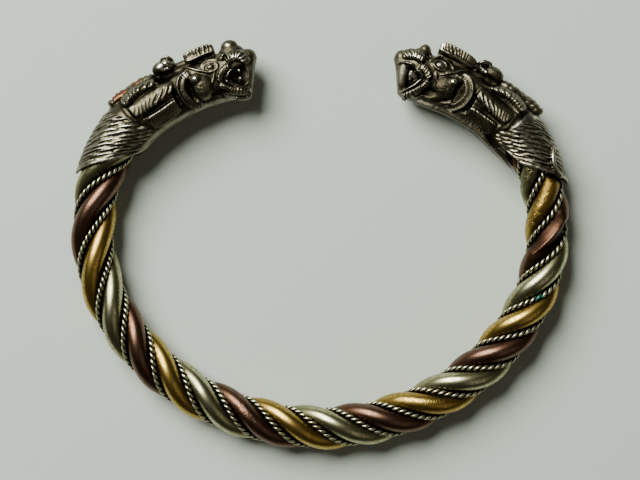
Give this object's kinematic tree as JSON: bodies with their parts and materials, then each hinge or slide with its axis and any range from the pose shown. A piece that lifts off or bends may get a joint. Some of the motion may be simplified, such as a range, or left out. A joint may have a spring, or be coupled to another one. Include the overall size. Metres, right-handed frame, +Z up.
{
  "type": "bangle",
  "caption": "Open oval cuff bangle of twisted metal rods with fine rope in the grooves and a cast dragon head on each end.",
  "frame": {"origin": "middle of the cuff's bounding box, on the surface that it lies on", "axes": "+X across the oval, from the left head's side to the right head's side; +Y from the back of the cuff to the gap between the heads; +Z up, across the thickness of the cuff as it lies on its side"},
  "size_m": [0.0753, 0.062, 0.0087],
  "materials": {
    "white_metal": "worn white metal with a greenish grey cast and pale polished crests",
    "copper": "dark toned copper, reddish brown, polished on the crests",
    "brass": "aged yellow brass, browned towards the grooves",
    "rope_wire": "fine white metal wire, bright on the crests and black between the wires",
    "cast_head": "oxidised cast white metal, near black in the recesses and bright on the worn relief"
  },
  "bodies": {
    "root": {"rod_white": "white_metal", "rod_copper": "copper", "rod_brass": "brass", "rope_1": "rope_wire", "rope_2": "rope_wire", "rope_3": "rope_wire", "head_left": "cast_head", "head_right": "cast_head"}
  },
  "joints": []
}
